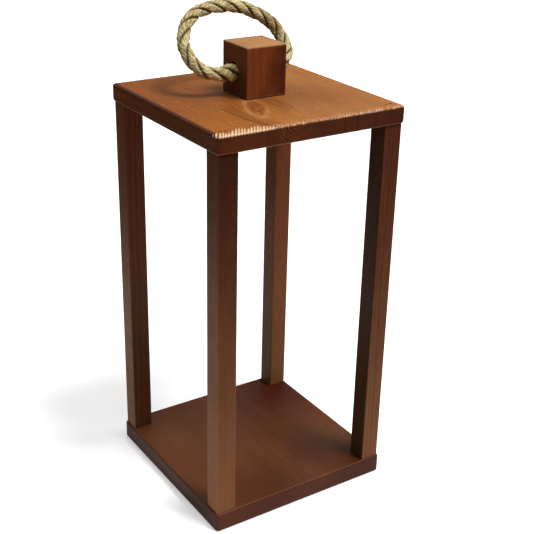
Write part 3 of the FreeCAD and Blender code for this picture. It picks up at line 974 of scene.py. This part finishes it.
# ==== rope, tape and steel ====
def rope_material():
    """Natural fibre: straw threads along the yarns with brown and pale patches, browner towards the
    right, and painted dark in the grooves and deep between the strands, as the shade there."""
    material, tree, place = new_material("natural_rope")
    fibre = put(tree, "Attribute", attribute_name="fibre").outputs["Vector"]
    groove = put(tree, "Attribute", attribute_name="groove").outputs["Fac"]
    depth = put(tree, "Attribute", attribute_name="depth").outputs["Fac"]
    threads = vector(tree, "MULTIPLY", fibre, (1, 1, 0.10))
    fine = noise(tree, threads, THREAD_SCALE, 4, 0.75)
    coarse = noise(tree, threads, BLOTCH_SCALE, 3, 0.7)
    colour = tint(tree, fade(tree, fine, 0.38, 0.60), DARK_THREAD, PALE_THREAD)
    colour = tint(tree, fade(tree, coarse, 0.40, 0.54, 0.75, 0.0), colour, BROWN_THREAD)
    x = parts(tree, place)["X"]
    browner_right = times(tree, fade(tree, x, 0.0, 0.04, 0.10, 0.80),
                    fade(tree, coarse, 0.3, 0.6, 1.2, 0.6))
    colour = tint(tree, browner_right, colour, ROPE_RIGHT_BROWN)
    pale = fade(tree, noise(tree, place, ROPE_PALE_SCALE, 2), 0.45, 0.65, 0.0, 0.5)
    colour = tint(tree, pale, colour, BLEACHED_ROPE)
    gaps = times(tree, groove, fade(tree, coarse, 0.3, 0.65, 1.15, 0.75))
    # painted shade in the grooves between the yarns
    colour = tint(tree, fade(tree, gaps, 0.25, 0.85, 0.0, 0.8), colour, YARN_GROOVE_SHADE)
    deep = calc(tree, "MULTIPLY_ADD", calc(tree, "SUBTRACT", coarse, 0.5), 0.5, depth)
    # painted shade deep between the strands
    colour = tint(tree, fade(tree, deep, 0.02, 0.30, 0.0, 0.78), colour, STRAND_GAP_SHADE)
    roughness = fade(tree, fine, 0.2, 0.8, 0.95, 0.7)
    height = calc(tree, "SUBTRACT", fine, times(tree, groove, 0.5))
    return finish_material(material, ROPE_RELIEF, height, {
        "Base Color": colour, "Roughness": roughness, "Specular IOR Level": 0.2})


def wisp_material():
    """Single fibres, in the straw colours of the yarns' threads."""
    material, tree, place = new_material("loose_fibre")
    shade = noise(tree, place, WISP_SCALE, 2)
    colour = tint(tree, fade(tree, shade, 0.3, 0.7), DARK_WISP, PALE_WISP)
    return finish_material(material, WISP_RELIEF, shade, {
        "Base Color": colour, "Roughness": fade(tree, shade, 0.3, 0.7, 0.8, 0.6)})


def tape_material():
    """Dark cloth tape: threads round and along the sleeve, with a dull adhesive sheen."""
    material, tree, place = new_material("joint_tape")
    wave = put(tree, "TexWave", {"Vector": place, "Scale": WEAVE_SCALE, "Distortion": 0.6})
    spots = noise(tree, place, TAPE_SPOT_SCALE, 3)
    weave = calc(tree, "MULTIPLY_ADD", wave.outputs["Fac"], 0.6, times(tree, spots, 0.4))
    colour = tint(tree, weave, (0.03, 0.024, 0.018), (0.11, 0.09, 0.065))
    return finish_material(material, TAPE_RELIEF, weave, {
        "Base Color": colour, "Roughness": fade(tree, weave, 0, 1, 0.65, 0.9)})


def steel_material(name, bright, dull, roughness):
    """Steel with a mottled, partly dulled surface and fine scratches."""
    material, tree, place = new_material(name)
    mottle = fade(tree, noise(tree, place, STEEL_MOTTLE_SCALE, 4, 0.7), 0.35, 0.65)
    drawn_out = vector(tree, "MULTIPLY", place, (1, 0.08, 1))
    scratch = noise(tree, drawn_out, STEEL_SCRATCH_SCALE, 2)
    colour = tint(tree, mottle, dull, bright)
    rough = calc(tree, "MULTIPLY_ADD", mottle, -0.15, roughness + 0.1)
    return finish_material(material, STEEL_RELIEF, scratch, {
        "Base Color": colour, "Roughness": rough, "Metallic": 1.0})


def dress_metal():
    """Dark steel on the pins, zinc on the screws."""
    pin = steel_material("pin_steel", (0.16, 0.12, 0.09), (0.07, 0.045, 0.03), 0.5)
    screw = steel_material("screw_steel", (0.66, 0.64, 0.58), (0.45, 0.42, 0.34), 0.35)
    for name, piece in NODES.items():
        if name.startswith("top_pin"):
            dress(piece, pin)
        elif "screw" in name:
            dress(piece, screw)


# ==== stage ====
def make_stage():
    """A wide pale floor, one soft light high on the front right, a small one to the right
    and a pale sky."""
    corners = [(across * FLOOR_REACH, along * FLOOR_REACH, 0)
               for across, along in ((-1, -1), (1, -1), (1, 1), (-1, 1))]
    floor = mesh_object("studio_floor", corners, [(0, 1, 2, 3)], smooth=False)
    floor.data.materials.append(floor_material())
    toward_key = Vector(TOWARD_KEY)
    add_light("key_light", "SUN", toward_key * 3, -toward_key, KEY_STRENGTH, angle=KEY_SOFTNESS)
    toward_top = Vector(box_middle("top_board")) - Vector(SIDE_PLACE)
    add_light("side_light", "AREA", SIDE_PLACE, toward_top, SIDE_POWER, shape="SQUARE",
              size=SIDE_SIZE)
    bpy.context.scene.world = sky_world()


def add_light(name, kind, place, direction, energy, **settings):
    """A light at a place, shining in a direction."""
    data = bpy.data.lights.new(name, kind)
    data.energy = energy
    for setting, value in settings.items():
        setattr(data, setting, value)
    light = bpy.data.objects.new(name, data)
    light.location = place
    light.rotation_mode = "QUATERNION"
    light.rotation_quaternion = direction.to_track_quat("-Z", "Y")
    link(light)


def sky_world():
    """A sky that lights from overhead and little from its horizon, and is seen as white."""
    world = bpy.data.worlds.new("studio_sky")
    world.use_nodes = True
    tree = world.node_tree
    direction = put(tree, "TexCoord").outputs["Generated"]
    lighting = fade(tree, parts(tree, direction)["Z"], 0.1, 0.9, SKY_HORIZON, SKY_ZENITH)
    seen = put(tree, "LightPath").outputs["Is Camera Ray"]
    strength = calc(tree, "MAXIMUM", lighting, seen)
    feed(tree.nodes["Background"], {"Strength": strength, "Color": (1.0, 1.0, 1.0, 1.0)})
    return world


def floor_material():
    """Pale matt paper with a barely visible mottle. What it throws back on to the lantern
    falls off with the distance from its middle, as from a sheet of paper on a dark table."""
    material, tree, place = new_material("pale_floor")
    mottle = noise(tree, place, PAPER_MOTTLE_SCALE, 3)
    seen = tint(tree, mottle, (0.93, 0.93, 0.93), (0.95, 0.95, 0.95))
    off_middle = vector(tree, "LENGTH", vector(tree, "MULTIPLY", place, (1, 1, 0)))
    beyond = fade(tree, off_middle, PAPER_RADIUS, PAPER_RADIUS + PAPER_FALL)
    lit = tint(tree, beyond, (0.85, 0.83, 0.80), (0.05, 0.048, 0.045))
    camera_ray = put(tree, "LightPath").outputs["Is Camera Ray"]
    colour = tint(tree, camera_ray, lit, seen)
    return finish_material(material, PAPER_RELIEF, mottle, {
        "Base Color": colour, "Roughness": fade(tree, mottle, 0, 1, 0.85, 0.95),
        "Specular IOR Level": 0.0, "Emission Color": camera_ray,
        "Emission Strength": FLOOR_GLOW})


GROUPS = {"grain": make_grain_group(), "faces": make_faces_group(), "wear": make_wear_group(),
          "strokes": make_strokes_group(), "varnish": make_varnish_group()}
BORE_MIDDLE = Vector(box_middle("handle_block"))
BORE_MIDDLE.y += BORE_OFFSET_Y
BORE_MIDDLE.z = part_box("handle_block")[0][2] + BORE_ABOVE_BOARD

make_camera()
rope, rope_line, rope_ahead, strand_points = make_rope()
wisps = make_wisps(rope_line, rope_ahead, strand_points)
dress(rope, rope_material())
dress(wisps, wisp_material())
dress(NODES["rope_joint_sleeve"], tape_material())
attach(rope, "rope_handle")
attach(wisps, "rope_handle")
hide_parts("handle_rope")
dress_timber()
dress_metal()
make_stage()
bpy.context.scene.view_settings.view_transform = "Standard"
